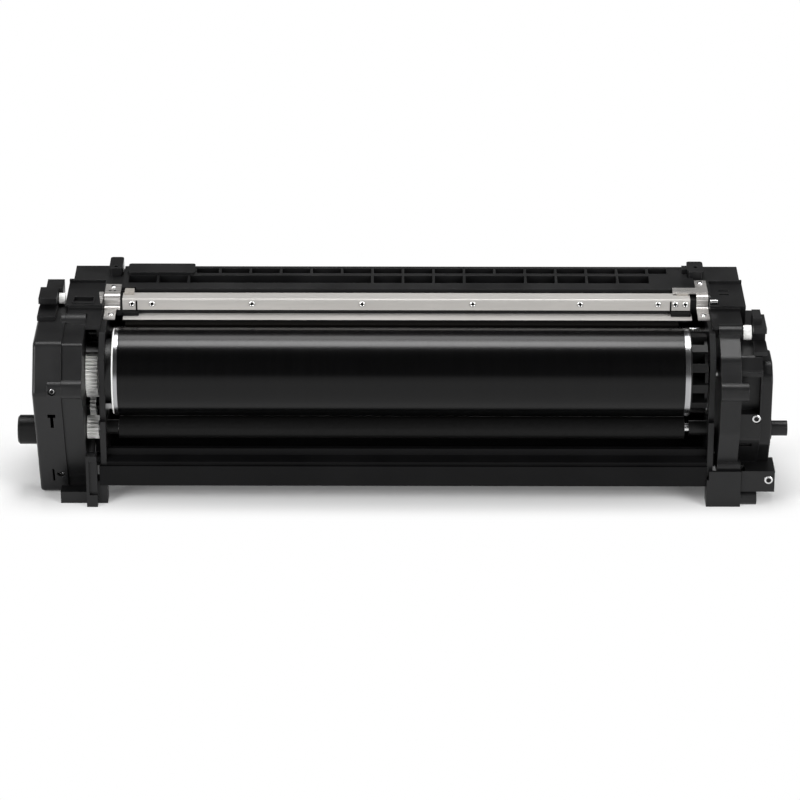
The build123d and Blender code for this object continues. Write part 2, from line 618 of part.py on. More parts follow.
def left_end_frame():
    """The left wall with its top, rear lug, gear guard, standoffs and feet."""
    frame = slab(wall_outline(GUARD_R), LEFT_WALL_OUT, LEFT_WALL)
    levels_x = [CASE_OUT + reach for reach in LEFT_LEVELS_X]
    frame += top_plate(LEFT_STRAP[0] - STRAP_SIDE_GAP, levels_x, LEFT_TOP_FRONT_Y)
    frame += hanger(LEFT_WALL_OUT - HANGER_T, LEFT_WALL_OUT)
    frame += block(LEFT_WALL_OUT, LEFT_WALL + LEFT_EAR[1], LEFT_EAR[2], LEVEL_Y[2], TOP_Z - TOP_T, TOP_Z)
    frame += ear(LEFT_WALL, LEFT_EAR, EAR_HOLES_X[0])
    frame -= strap_form(*LEFT_STRAP, LEFT_STRAP_REAR_Y)
    boss_y, boss_z, boss_r, reach = LEFT_BOSSES[0]
    frame -= rod(boss_y, boss_z, boss_r + ROLL_GAP, CASE_OUT - reach - ROLL_GAP, CASE_IN + ROLL_GAP)
    frame -= block(CASE_OUT - reach, CASE_IN + ROLL_GAP, LEFT_TOP_FRONT_Y, boss_y, COVER_TOP_Z - TOP_T, TOP_Z)
    slot_z = TOP_Z - LEVEL_DROPS[1]
    frame += block(CASE_IN - 10.9, CASE_IN + 4.4, 5.7, 16.2, slot_z - TOP_T, slot_z + 0.8)
    frame -= block(CASE_IN - 9.9, CASE_IN + 3.4, 6.7, 15.2, slot_z - 1.6, slot_z + 0.8)
    frame += block(CASE_IN, LEFT_WALL_OUT, WEB_Y, WEB_Y + SHELL_T, FOOT_H - 1.0, STRAP_LOW_Z)
    shield = at(*DRUM, Circle(SHIELD_R)) - at(*DRUM, Circle(GUARD_R))
    frame += slab(shield, LEFT_WALL, -DRUM_END - FLANGE_LIP - ROLL_GAP)
    frame += slab(guard_outline(), CASE_IN + PLAY, LEFT_WALL_OUT + 1.0)
    for centre in STANDOFFS:
        frame += rod(*centre, STANDOFF_R, CASE_IN, LEFT_WALL_OUT)
    frame += block(CASE_IN, LEFT_WALL, *FRONT_FOOT, 0, FOOT_H)
    frame += block(CASE_OUT - 4.4, CASE_IN, *FRONT_FOOT, 0, FOOT_H / 2)
    frame += block(CASE_IN, LEFT_WALL, *REAR_FOOT, 0, FOOT_H)
    frame += block(CASE_IN, LEFT_WALL_OUT - 2.5, FRONT_FOOT[0] - 6.0, FRONT_FOOT[0] + 1.0, 0, 38)
    frame -= block(CASE_IN + 2, LEFT_WALL_OUT - 2.5, FRONT_FOOT[0] - 6.0, FRONT_FOOT[0] - 4.0, 9, 34)
    return frame


def right_end_frame():
    """The right wall with its top, rear lug, standoffs and feet."""
    frame = slab(wall_outline(RIGHT_WALL_HOLE_R), RIGHT_WALL, RIGHT_WALL_OUT)
    levels_x = [PLATE_OUT + reach for reach in RIGHT_LEVELS_X]
    frame += top_plate(RIGHT_STRAP[1] + STRAP_SIDE_GAP, levels_x, RIGHT_TOP_FRONT_Y)
    frame += hanger(RIGHT_WALL_OUT, RIGHT_WALL_OUT + HANGER_T)
    ear_x = RIGHT_WALL + RIGHT_EAR[0]
    frame += block(ear_x, RIGHT_WALL_OUT, RIGHT_EAR[2], LEVEL_Y[2], TOP_Z - TOP_T, TOP_Z)
    frame += ear(RIGHT_WALL, RIGHT_EAR, EAR_HOLES_X[1])
    frame += block(RIGHT_WALL - 13.7, RIGHT_WALL - 8.0, 50, 57, DECK_Z, DECK_Z + 3.0)
    frame -= strap_form(*RIGHT_STRAP, RIGHT_STRAP_REAR_Y)
    boss_y, boss_z, boss_r, reach = RIGHT_BOSSES[0]
    frame -= rod(boss_y, boss_z, boss_r + ROLL_GAP, PLATE_IN - ROLL_GAP, levels_x[0] + 1.0)
    frame -= block(PLATE_IN - ROLL_GAP, levels_x[0] + 1.0, RIGHT_TOP_FRONT_Y, boss_y, COVER_TOP_Z - TOP_T, TOP_Z)
    slot_z = TOP_Z - LEVEL_DROPS[1]
    for y in (22.0, 28.5):
        frame -= block(RIGHT_WALL_OUT + 6, RIGHT_WALL_OUT + 13, y, y + 2.0, slot_z - 1.6, slot_z)
    skirt_z = DRUM_Z + RIGHT_COVER[4][1] + PLAY
    frame += block(levels_x[0] + ROLL_GAP, levels_x[1], LEVEL_Y[0], LEVEL_Y[0] + TOP_T, skirt_z, slot_z)
    for centre in STANDOFFS:
        frame += rod(*centre, STANDOFF_R, RIGHT_WALL_OUT, PLATE_IN)
    foot_x = PLATE_OUT + 2.7
    frame += block(RIGHT_WALL, foot_x, -54, FRONT_FOOT[1], 0, 20)
    frame += block(RIGHT_WALL + 1.4, foot_x, -54, -52, 20, 26.5)
    frame += rod(-49, 5.0, 5.0, foot_x, foot_x + 11)
    frame += block(RIGHT_WALL, PLATE_OUT, *REAR_FOOT, 0, FOOT_H)
    return frame


def right_bearing_plate():
    """The tray that carries the drum's right bearing, with three screw bosses."""
    outline = bent_outline(RIGHT_PLATE, PLATE_BEND)
    plate = slab(outline, PLATE_IN, PLATE_OUT)
    plate -= slab(offset(outline, -CASE_WALL_T), PLATE_IN + WALL_T, PLATE_OUT)
    for y, z, r, reach in RIGHT_BOSSES:
        plate += rod(y, z, r, PLATE_IN, PLATE_OUT + reach)
    plate += rod(*DRUM, BEARING_R + CASE_WALL_T, PLATE_IN, PLATE_OUT)
    plate -= rod(*DRUM, BEARING_R + SEAT, PLATE_IN, PLATE_OUT)
    return plate


def right_cover():
    """The outer shell over the drum shaft's end, with a front pocket and a foot block."""
    full = bent_outline(RIGHT_COVER, RIGHT_COVER_BEND)
    outline = bent_outline(RIGHT_COVER, RIGHT_COVER_BEND)
    for y, z, r, _ in RIGHT_BOSSES:
        outline -= at(y, z, Circle(r + ROLL_GAP))
    shell = slab(outline, PLATE_OUT, RIGHT_COVER_OUT)
    shell -= slab(offset(full, -SHELL_T), PLATE_OUT, RIGHT_COVER_OUT - SHELL_T)
    shell += block(PLATE_OUT + 3, RIGHT_COVER_OUT + 11.2, -52, -30, 10.5, 26)
    shell += block(PLATE_OUT, RIGHT_COVER_OUT, -53.5, -48, 97.0, 99.5)
    shell += block(PLATE_OUT, RIGHT_COVER_OUT, -51, -42, 66, 97)
    shell -= block(PLATE_OUT + 1.0, RIGHT_COVER_OUT - 1.0, -52, -44, 68.5, 96)
    for y, z, r, _ in RIGHT_BOSSES:
        shell -= rod(y, z, r + ROLL_GAP, PLATE_OUT, PLATE_OUT + 5.4)
    shell -= block(PLATE_OUT, PLATE_OUT + 9.5, -54, -45, 42.5, 45.5)
    return shell - screw_seats(COVER_SCREWS[2:])


def right_end_plate():
    """The outermost plate with the locating stub on the charge roller's line."""
    plate = slab(bent_outline(END_PLATE, END_PLATE_BEND), RIGHT_COVER_OUT, END_PLATE_OUT)
    plate = fillet(plate.faces().sort_by(Axis.X)[-1].edges(), COVER_EDGE_R / 2)
    plate -= block(RIGHT_COVER_OUT, END_PLATE_OUT, -60, -29.7, 10.2, 26.3)
    plate += rod(*CHARGE, STUB_R + 2.5, END_PLATE_OUT, END_PLATE_OUT + 0.8)
    return plate + rod(*CHARGE, STUB_R, END_PLATE_OUT, END_PLATE_OUT + STUB_REACH)


def frame_section():
    """The rear frame's side view: deck, rail under the blade, back wall and the auger's trough."""
    auger_y, auger_z = AUGER
    outer = TROUGH_R + TROUGH_T
    back = auger_y + TROUGH_R
    section = box_face(DECK_FRONT_Y, DECK_REAR_Y, DECK_Z - DECK_T, DECK_Z)
    section += box_face(RAIL_Y, DECK_FRONT_Y + 1, TOP_Z - RAIL_DROP, RAIL_TOP_Z)
    section += box_face(DECK_FRONT_Y, back + TROUGH_T, DECK_Z - DECK_T - 1, DECK_Z - DECK_T)
    section += box_face(back, back + TROUGH_T, auger_z, DECK_Z - DECK_T)
    trough = at(auger_y, auger_z, Circle(outer)) - at(auger_y, auger_z, Circle(TROUGH_R))
    section += trough & box_face(auger_y - outer, auger_y + outer, auger_z - outer, auger_z)
    lip_y = DRUM_Y + DRUM_R + 2.0
    section += Polygon((auger_y - TROUGH_R, auger_z), (auger_y - outer, auger_z), (lip_y, auger_z - 2.0),
                       (lip_y, auger_z), (auger_y - TROUGH_R, auger_z + 2.0), align=None)
    return section


def box_face(y0, y1, z0, z1):
    """A rectangle in the side view given by its edges."""
    return at((y0 + y1) / 2, (z0 + z1) / 2, Rectangle(y1 - y0, z1 - z0))


def cells(row, first, last, skipped):
    """A row of open cells in the deck between its ribs."""
    y0, y1 = row
    cut = block(first, last, y0, y1, DECK_Z - CELL_DEPTH, DECK_Z)
    first_rib = FIRST_RIB_INSET - DRUM_END
    count = int((last - first_rib) / CELL_PITCH) + 1
    for k in range(int((first - first_rib) / CELL_PITCH), count):
        x = first_rib + k * CELL_PITCH
        if k not in skipped and first + 2 < x < last - 2:
            cut -= block(x - CELL_RIB / 2, x + CELL_RIB / 2, y0, y1, DECK_Z - CELL_DEPTH, DECK_Z)
    return cut


def rear_frame():
    """The long moulding behind the drum: ribbed deck above, waste trough below, gussets behind."""
    frame = slab(frame_section(), LEFT_WALL, RIGHT_WALL)
    frame += block(*BRACKET_X, TAB_Y, RAIL_Y + 1, HOLDER_TOP_Z, RAIL_TOP_Z)
    frame -= cells(FRONT_ROW, FRONT_ROW_INSETS[0] - DRUM_END, DRUM_END - FRONT_ROW_INSETS[1], PLAIN_CELLS)
    frame -= cells(REAR_ROW, REAR_ROW_INSETS[0] - DRUM_END, DRUM_END - REAR_ROW_INSETS[1], ())
    left_x = LEFT_STRAP[1] + STRAP_SIDE_GAP
    right_x = RIGHT_STRAP[0] - STRAP_SIDE_GAP
    for x0, x1 in ((LEFT_WALL, left_x), (right_x, RIGHT_WALL)):
        frame -= block(x0, x1, 0, DECK_REAR_Y, TOP_Z, DECK_Z)
        frame -= block(x0, x1, 0, STEP_Y, STRAP_LOW_Z, TOP_Z)
    for x0, x1, front in ((LEFT_WALL, LEFT_WALL + LEFT_EAR[1], LEFT_EAR[2]),
                          (RIGHT_WALL + RIGHT_EAR[0], RIGHT_WALL, RIGHT_EAR[2])):
        frame -= block(x0 - ROLL_GAP, x1 + ROLL_GAP, front - ROLL_GAP, DECK_REAR_Y, TOP_Z - TOP_T, DECK_Z)
    pad_x = PAD_INSETS[0] - DRUM_END
    frame -= block(left_x, pad_x + 7.5, BRACKET_FRONT_Y, LEFT_PAD[0] + ROLL_GAP, TOP_Z, DECK_Z)
    arm_y0, arm_y1 = STRAP_ARM_Y
    frame -= block(right_x - STRAP_ARM_LENGTH, right_x, arm_y0, arm_y1 + ROLL_GAP, TOP_Z, DECK_Z)
    frame -= strap_form(*LEFT_STRAP, LEFT_STRAP_REAR_Y)
    frame -= strap_form(*RIGHT_STRAP, RIGHT_STRAP_REAR_Y)
    for x in BLADE_SCREW_X + TAB_SCREW_X:
        frame -= screw_hole(x, BRACKET_FRONT_Y, SCREW_Z, 7.0)
    back = AUGER[0] + TROUGH_R + TROUGH_T
    under = DECK_Z - DECK_T
    gusset = Polygon((back, AUGER[1]), (back, under), (DECK_REAR_Y, under), align=None)
    for k in range(GUSSETS):
        x = LEFT_WALL + (k + 0.5) * (RIGHT_WALL - LEFT_WALL) / GUSSETS
        frame += slab(gusset, x - GUSSET_T / 2, x + GUSSET_T / 2)
    return frame


def deck_cover():
    """The flat plate raised on the deck's left end."""
    x0, x1 = [inset - DRUM_END for inset in COVER_PLATE_INSETS]
    plate = block(x0, x1, FRONT_ROW[1] + 0.5, DECK_REAR_Y, DECK_Z, DECK_Z + COVER_PLATE_T)
    return fillet(plate.edges().filter_by(Axis.Z), 2.0)


def beam_section():
    """The lower beam's side view: a tray with a grooved front, a slope and a lip."""
    front = BEAM_FRONT_Y
    bottom = BEAM_BOTTOM_Z
    panel = BEAM_PANEL_TOP_Z
    groove = panel + BEAM_GROOVE_H
    slope_z = groove + BEAM_T
    lip = BEAM_SLOPE_END_Y
    inner = front + BEAM_GROOVE_D + BEAM_T
    floor = bottom + BEAM_T
    return Polygon((front, bottom), (front, panel), (front + BEAM_GROOVE_D, panel),
                   (front + BEAM_GROOVE_D, groove), (front, groove + 0.2), (lip, slope_z),
                   (lip, BEAM_LIP_TOP_Z), (lip + 4, BEAM_LIP_TOP_Z), (lip + 4, slope_z - 1),
                   (inner, groove - 1.5), (inner, floor), (BEAM_REAR_Y - BEAM_T, floor),
                   (BEAM_REAR_Y - BEAM_T, BEAM_REAR_Z), (BEAM_REAR_Y, BEAM_REAR_Z), (BEAM_REAR_Y, bottom),
                   align=None)


def lower_beam():
    """The moulded beam below the drum that shields the charge roller."""
    beam = slab(beam_section(), LEFT_WALL, RIGHT_WALL)
    panel_y = BEAM_FRONT_Y + ARM_SETBACK
    return beam + block(LEFT_WALL_OUT - 1.0, LEFT_WALL, BEAM_FRONT_Y, panel_y, BEAM_BOTTOM_Z, BEAM_PANEL_TOP_Z)


def screw(x, y, z, head_r=SCREW_R, length=5.0):
    """A pan-head screw facing the front, its head's underside at Y."""
    head = Pos(x, y, z) * Rot(90, 0, 0) * extrude(Circle(head_r), SCREW_HEAD_T)
    head = fillet(head.edges().sort_by(Axis.Y)[0], SCREW_HEAD_T * 0.6)
    shank = Pos(x, y, z) * Rot(-90, 0, 0) * extrude(Circle(SCREW_SHANK_R), length)
    return head + shank


def screw_hole(x, y, z, length):
    """The hole for a front-facing screw's shank."""
    return Pos(x, y, z) * Rot(-90, 0, 0) * extrude(Circle(SCREW_SHANK_R + SEAT), length)


def blade_holder():
    """The metal strip that carries the blade."""
    return block(*HOLDER_X, HOLDER_FRONT_Y, RAIL_Y, HOLDER_TOP_Z - METAL_T, HOLDER_TOP_Z)


def blade_bracket():
    """The metal angle that clamps the holder to the rail, slit near its ends."""
    front = BRACKET_FRONT_Y
    flange = box_face(front, TAB_Y, TOP_Z - BRACKET_HEIGHT, TOP_Z)
    angle = slab(flange + box_face(front, front + BRACKET_DEPTH, RAIL_TOP_Z, TOP_Z), *BRACKET_X)
    bend = angle.edges().filter_by(Axis.X).sort_by_distance((0, front, TOP_Z))[0]
    angle = fillet(bend, METAL_T * 0.9)
    for x in (BRACKET_SLITS[0] - DRUM_END, DRUM_END - BRACKET_SLITS[1]):
        angle -= block(x, x + SLIT_W, front - 1, TAB_Y, TOP_Z - BRACKET_HEIGHT, RAIL_TOP_Z)
    for x in BLADE_SCREW_X + TAB_SCREW_X:
        angle -= screw_hole(x, front - 1, SCREW_Z, METAL_T + 2)
    return angle


def blade_screws():
    """Nine screws through the bracket into the rail."""
    return Compound(children=[screw(x, BRACKET_FRONT_Y, SCREW_Z) for x in BLADE_SCREW_X + TAB_SCREW_X])


def cleaning_blade():
    """The rubber blade under the holder, its front edge at the drum."""
    top = HOLDER_TOP_Z - METAL_T
    tip_y = DRUM_Y + math.sqrt((DRUM_R + ROLL_GAP)**2 - (top - BLADE_T - DRUM_Z)**2)
    return block(-BLADE_END, BLADE_END, tip_y, BLADE_BACK_Y, top - BLADE_T, top)


def end_seals():
    """The foam blocks on the holder's ends."""
    left = block(SEAL_INSETS[0] - DRUM_END, SEAL_INSETS[1] - DRUM_END, SEAL_FRONT_Y, TAB_Y, HOLDER_TOP_Z,
                 HOLDER_TOP_Z + SEAL_H)
    right = block(DRUM_END - SEAL_INSETS[2], DRUM_END - SEAL_INSETS[3], SEAL_FRONT_Y, TAB_Y, HOLDER_TOP_Z,
                  HOLDER_TOP_Z + SEAL_H)
    return Compound(children=[left, right])


def strap_form(x0, x1, rear_y):
    """A sheet of metal bent in a Z over the step of an end wall."""
    high = TOP_Z + METAL_T / 2
    low = STRAP_LOW_Z + METAL_T / 2
    drop_y = STEP_Y - METAL_T / 2
    line = FilletPolyline((rear_y, high), (drop_y, high), (drop_y, low), (STRAP_FRONT_Y, low),
                          radius=STRAP_BEND)
    return slab(trace(line, METAL_T), x0, x1)


def punched(body, rear_y, screw_x):
    """A strap with its screw holes."""
    for y in (rear_y - 5.0, STRAP_FRONT_Y + 6.0):
        body -= Pos(screw_x, y, STRAP_LOW_Z) * extrude(Circle(SCREW_SHANK_R + SEAT), 20)
    return body


def left_strap():
    """The left strap, narrower on its lower leg."""
    body = strap_form(*LEFT_STRAP, LEFT_STRAP_REAR_Y)
    leg_y = (STRAP_FRONT_Y - 1, STEP_Y - STRAP_BEND - METAL_T)
    low = STRAP_LOW_Z - 1
    body -= block(LEFT_STRAP[0], LEFT_WALL_OUT + LEFT_LEG_EDGES[0], *leg_y, low, TOP_Z)
    body -= block(LEFT_WALL_OUT + LEFT_LEG_EDGES[1], LEFT_STRAP[1], *leg_y, low, TOP_Z)
    return punched(body, *STRAP_PLACES[0])


def right_strap():
    """The right strap with the arm over the felt pad."""
    body = strap_form(*RIGHT_STRAP, RIGHT_STRAP_REAR_Y)
    arm_z = TOP_Z + RIGHT_PAD[1]
    body += block(RIGHT_STRAP[0] - STRAP_ARM_LENGTH, RIGHT_STRAP[1], *STRAP_ARM_Y, arm_z, arm_z + METAL_T)
    return punched(body, *STRAP_PLACES[1])


def felt_pad(x0, x1, rear_y, thickness):
    """A felt pad on the end of the bracket."""
    return block(x0, x1, PAD_FRONT_Y, rear_y, TOP_Z, TOP_Z + thickness)


def strap_screws():
    """The straps' screws, two in each."""
    group = []
    for rear_y, x in STRAP_PLACES:
        for y, z in ((rear_y - 5.0, TOP_Z + METAL_T), (STRAP_FRONT_Y + 6.0, STRAP_LOW_Z + METAL_T)):
            head = Pos(x, y, z) * extrude(Circle(SCREW_R), SCREW_HEAD_T)
            head = fillet(head.edges().sort_by(Axis.Z)[-1], SCREW_HEAD_T * 0.6)
            group.append(head + Pos(x, y, z - METAL_T) * extrude(Circle(SCREW_SHANK_R), METAL_T))
    return Compound(children=group)


def cover_screws():
    """The front-facing screws of the end covers."""
    return Compound(children=[screw(x, y, z, r, 3.0) for x, y, z, r in COVER_SCREWS])


def hook_outline(front, rear, bottom, top):
    """A hook's side view: a tab with a slot open to the front."""
    outline = box_face(front, rear, bottom, top) - box_face(front, front + 9, bottom + 2, top - 4)
    outline += box_face(front - 14, front + 4, bottom, bottom + 3)
    return outline


def screw_seats(screws):
    """The flat seats and holes for front-facing screws."""
    seats = []
    for x, y, z, r in screws:
        seats.append(Pos(x, y, z) * Rot(90, 0, 0) * extrude(Circle(r + 0.5), 4.0))
        seats.append(screw_hole(x, y, z, 3.5))
    return seats


def left_hook():
    """The hook on the left cover with the pin that carries its collar."""
    top = COVER_TOP_Z + 10.4
    hook = slab(hook_outline(0, 20, COVER_TOP_Z, top), COVER_OUT, COVER_OUT + 12.4)
    hook += block(COVER_OUT + 3.9, COVER_OUT + 15.4, 18, 33.6, COVER_TOP_Z, top)
    return hook + rod(*LEFT_COLLAR, COLLAR_PIN_R, COVER_OUT + 8, CASE_OUT - 1.8)


def right_hook():
    """The hook on the right cover with the pin that carries its collar."""
    bottom = DRUM_Z + RIGHT_COVER[4][1]
    hook = slab(hook_outline(-30, -6, bottom, bottom + 14), PLATE_OUT + 9.3, PLATE_OUT + 18.1)
    hook += block(PLATE_OUT + 9.3, PLATE_OUT + 15.1, -22, -6.9, bottom + 10, bottom + 18)
    return hook + rod(*RIGHT_COLLAR, COLLAR_PIN_R, PLATE_OUT + 2.3, PLATE_OUT + 12)


def collar(centre, r, x0, x1):
    """A white collar on a hook's pin."""
    ring = at(*centre, Circle(r)) - at(*centre, Circle(COLLAR_PIN_R + SEAT))
    return slab(ring, x0, x1)


def recovery_seal():
    """The thin film from the trough's lip to the drum."""
    lip_y = DRUM_Y + DRUM_R + 2.0
    z = AUGER[1] - 2.0
    return block(-BRUSH_END, BRUSH_END, lip_y - 1.4, lip_y + 4, z - 0.3, z)


def earth_pin():
    """The metal pin that lies on the right end frame's top."""
    z = TOP_Z - LEVEL_DROPS[1] + EARTH_PIN_R
    return rod(7.3, z, EARTH_PIN_R, RIGHT_WALL + 2.9, RIGHT_WALL + 7.9)


PIECES = {
    "rear_frame": rear_frame,
    "deck_cover": deck_cover,
    "lower_beam": lower_beam,
    "left_end_frame": left_end_frame,
    "right_end_frame": right_end_frame,
    "left_gear_case": left_gear_case,
    "left_gear_cover": left_gear_cover,
    "right_bearing_plate": right_bearing_plate,
    "right_cover": right_cover,
    "right_end_plate": right_end_plate,
    "blade_bracket": blade_bracket,
    "blade_holder": blade_holder,
    "blade_screws": blade_screws,
    "cleaning_blade": cleaning_blade,
    "end_seals": end_seals,
    "left_strap": left_strap,
    "right_strap": right_strap,
    "strap_screws": strap_screws,
    "left_pad": lambda: felt_pad(PAD_INSETS[0] - DRUM_END, PAD_INSETS[1] - DRUM_END, *LEFT_PAD),
    "right_pad": lambda: felt_pad(DRUM_END - PAD_INSETS[2], DRUM_END - PAD_INSETS[3], *RIGHT_PAD),
    "cover_screws": cover_screws,
    "left_hook": left_hook,
    "right_hook": right_hook,
    "left_collar": lambda: collar(LEFT_COLLAR, LEFT_COLLAR_R, CASE_OUT - 6.2, CASE_OUT - 2.0),
    "right_collar": lambda: collar(RIGHT_COLLAR, RIGHT_COLLAR_R, PLATE_OUT + 3.0, PLATE_OUT + 8.5),
    "earth_pin": earth_pin,
    "recovery_seal": recovery_seal,
    "left_drum_bearing": lambda: bearing_ring(DRUM_SHAFT_R, CASE_IN - BEARING_T, CASE_IN),
    "right_drum_bearing": lambda: bearing_ring(DRUM_SHAFT_R, PLATE_IN, PLATE_IN + BEARING_T),
    "left_charge_bearing": lambda: charge_bearing(LEFT_WALL_OUT, LEFT_WALL + LEFT_HUB_REACH),
    "right_charge_bearing": lambda: charge_bearing(RIGHT_WALL, RIGHT_WALL - RIGHT_HUB_REACH),
    "charge_leaves": lambda: Compound(children=[charge_leaf(LEFT_WALL_OUT), charge_leaf(RIGHT_WALL)]),
    "drum_tube": drum_tube,
    "drum_shaft": drum_shaft,
    "drum_gear": drum_gear,
    "drum_flange_right": drum_flange_right,
    "drive_gear": drive_gear,
    "charge_roller": charge_roller,
    "charge_shaft": charge_shaft,
    "cleaner_roller": cleaner_roller,
    "cleaner_shaft": cleaner_shaft,
    "brush_roller": brush_roller,
    "brush_shaft": brush_shaft,
    "waste_auger": waste_auger,
    "drive_coupling": drive_coupling,
    "coupling_gear": lambda: small_gear(COUPLING, COUPLING_TEETH, COUPLING_PHASE, COUPLING_SHAFT_R),
    "brush_gear": lambda: small_gear(BRUSH, BRUSH_TEETH, BRUSH_PHASE, BRUSH_SHAFT_R),
    "auger_gear": lambda: small_gear(AUGER, AUGER_TEETH, AUGER_PHASE, AUGER_SHAFT_R),
    "charge_gear": lambda: white_small_gear(CHARGE, CHARGE_PHASE, WHITE_FACE,
                                            CHARGE_SHAFT_R + SEAT - RUNNING),
    "charge_idler": lambda: white_small_gear(IDLER, IDLER_PHASE, IDLER_FACE, IDLER_PIN_R),
}

os.makedirs("parts", exist_ok=True)
for name, make in PIECES.items():
    export_step(make(), f"parts/{name}.step")
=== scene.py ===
import json
import math

import bmesh
import bpy
from mathutils import Matrix, Vector, noise


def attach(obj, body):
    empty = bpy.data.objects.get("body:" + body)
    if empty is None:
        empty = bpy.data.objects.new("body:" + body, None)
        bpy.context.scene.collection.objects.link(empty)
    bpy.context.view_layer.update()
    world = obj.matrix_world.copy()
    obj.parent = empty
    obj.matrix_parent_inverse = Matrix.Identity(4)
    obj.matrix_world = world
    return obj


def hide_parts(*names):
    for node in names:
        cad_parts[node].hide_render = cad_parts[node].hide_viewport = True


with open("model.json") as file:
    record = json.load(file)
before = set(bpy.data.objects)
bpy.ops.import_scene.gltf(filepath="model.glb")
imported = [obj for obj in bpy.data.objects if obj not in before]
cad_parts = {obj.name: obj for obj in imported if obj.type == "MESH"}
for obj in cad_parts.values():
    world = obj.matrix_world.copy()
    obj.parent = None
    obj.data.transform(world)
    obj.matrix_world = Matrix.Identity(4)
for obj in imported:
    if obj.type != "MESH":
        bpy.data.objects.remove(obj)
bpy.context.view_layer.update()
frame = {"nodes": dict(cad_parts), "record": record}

MM = 0.001

# Camera
CAMERA_AIM = Vector((-1.2, -32.0, 69.5)) * MM
CAMERA_DISTANCE = 2576 * MM
CAMERA_PITCH = 25.0
CAMERA_ROLL = 0.1
CAMERA_LENS = 171.0
CAMERA_SENSOR = 36.0
CAMERA_REACH = 100.0

# Softboxes: one above, a weaker one lower behind, one at each side of the camera, and a weak one
# behind each end
LIGHT_AIM = Vector((0.0, -20.0, 90.0)) * MM
TOP_ELEVATION = 101.5
TOP_DISTANCE = 1.9
TOP_WIDTH = 0.85
TOP_DEPTH = 0.6
TOP_RADIANCE = 14.0
REAR_ELEVATION = 122.0
REAR_DEPTH = 0.55
REAR_RADIANCE = 5.0
SIDE_AZIMUTH = 48.0
SIDE_ELEVATION = 22.0
SIDE_DISTANCE = 1.8
SIDE_SIZE = 1.0
SIDE_RADIANCE = 8.6
FILL_AZIMUTH = 115.0
FILL_ELEVATION = 30.0
FILL_DISTANCE = 2.2
FILL_SIZE = 1.2
FILL_RADIANCE = 0.6

# The world is dark above a pale band, which ends between these two heights of a unit direction
WORLD_DARK = 0.03
HORIZON_RADIANCE = 1.0
BAND_FULL, BAND_GONE = 0.13, 0.25

# The floor is white to the camera, and keeps its shadow near the unit
FLOOR_SIZE = 60.0
FLOOR_GLOW = 0.04
FLOOR_TINTS, FLOOR_CLOUDS = ((0.79, 0.79, 0.79), (0.81, 0.81, 0.81)), 4.0
GLOW_NEAR, GLOW_FAR = 40 * MM, 78 * MM
GLOW_STRETCH = 0.096

# Most noise values lie between these two, so colours and gloss run from one to the other
NOISE_LOW, NOISE_HIGH = 0.3, 0.7

# Surfaces: scales of their noise, how it is stretched, the shares of the colour in its dark and
# light spots, the roughness below and above the middle, and the depth of the grain
MOULD_PATCHES, MOULD_GRAINS = 35.0, 2600.0
MOULD_TINTS, MOULD_GLOSS = (0.85, 1.15), (-0.05, 0.07)
MOULD_DEPTH = 0.03 * MM
STEEL_STREAKS, STEEL_CLOUDS = 1500.0, 60.0
STEEL_STREAK_STRETCH, STEEL_CLOUD_STRETCH = (0.02, 1.0, 1.0), (0.15, 1.0, 1.0)
STEEL_TINTS, STEEL_GLOSS = (0.9, 1.05), (-0.06, 0.08)
STEEL_STRENGTH, STEEL_DEPTH, STEEL_EDGE = 0.35, 0.01 * MM, 0.15 * MM
TURNED_RINGS, TURNED_STRETCH = 3000.0, (1.0, 0.05, 0.05)
TURNED_TINTS, TURNED_GLOSS, TURNED_ROUGHNESS = (0.92, 1.05), (-0.05, 0.06), 0.25
TURNED_STRENGTH, TURNED_DEPTH, TURNED_EDGE = 0.2, 0.01 * MM, 0.15 * MM
SOFT_TINTS, SOFT_GLOSS = (0.7, 1.25), (-0.08, 0.08)

# The drum: the coating's ends along X, its colours, and those of the bare metal beside it, which
# are set darker than the metal is, as painted shade in what its rings mirror
COATED_LEFT, COATED_RIGHT = -191.25 * MM, 190.4 * MM
COATING = ((0.0008, 0.0008, 0.0009), (0.0014, 0.0014, 0.0015))
BARE_METAL = ((0.36, 0.36, 0.37), (0.48, 0.48, 0.49))
DRUM_RINGS, DRUM_STRETCH = 900.0, (1.0, 0.02, 0.02)
DRUM_GLOSS, DRUM_SPECULAR = (0.2, 0.23), 0.23

# Meshes: the angle above which an edge stays sharp, how far a front faces to take painted shade,
# and what is one point
SHARP_ANGLE = 30.0
SHADE_FRONT_FACING = -0.7
WELD = 0.001 * MM

# Pan heads: the rim and three crowns as (share of the radius, share of the height), and the neck
# in shares of the radius alone
HEAD_HEIGHT = 1.0 * MM
HEAD_SEGMENTS = 48
NECK_R, NECK_DEPTH = 0.55, 0.4
HEAD_RIM = ((1.0, 0.0), (1.0, 0.35), (0.93, 0.65), (0.75, 0.9))
FLAT_CROWN = ((0.5, 1.0), (0.0, 1.0))
HOLLOW_CROWN = ((0.58, 1.0), (0.46, 0.85), (0.34, 0.2), (0.0, 0.1))
WIDE_CROWN = ((0.66, 0.95), (0.54, 0.8), (0.46, 0.1), (0.0, 0.05))

# The cross recess: its slots, how much they narrow, their turn in degrees, the faces that count
# as the recess and are painted dark as shade, and how many radians each screw is turned further
# than the one before
CROSS_LENGTH, CROSS_WIDTH, CROSS_DEPTH = 1.15, 0.26, 1.2
CROSS_TAPER = 0.55
CROSS_TURN = 20.0
RECESS_R, RECESS_LOW, RECESS_HIGH = 0.55, -0.3, 0.95
SCREW_TURN = 0.9

# Screws: node, the way they face and their crown
SCREWS = (
    ("blade_screws", (0, -1, 0), WIDE_CROWN),
    ("cover_screws", (0, -1, 0), HOLLOW_CROWN),
    ("strap_screws", (0, 0, 1), FLAT_CROWN),
)

# Nodes whose finish isn't the plain one of their slot; the lower beam's is a darker copy of the
# black moulding, as painted shade
OTHER_FINISHES = (
    ("left_strap", "sprung_steel"),
    ("right_strap", "sprung_steel"),
    ("lower_beam", "shaded_moulding"),
)

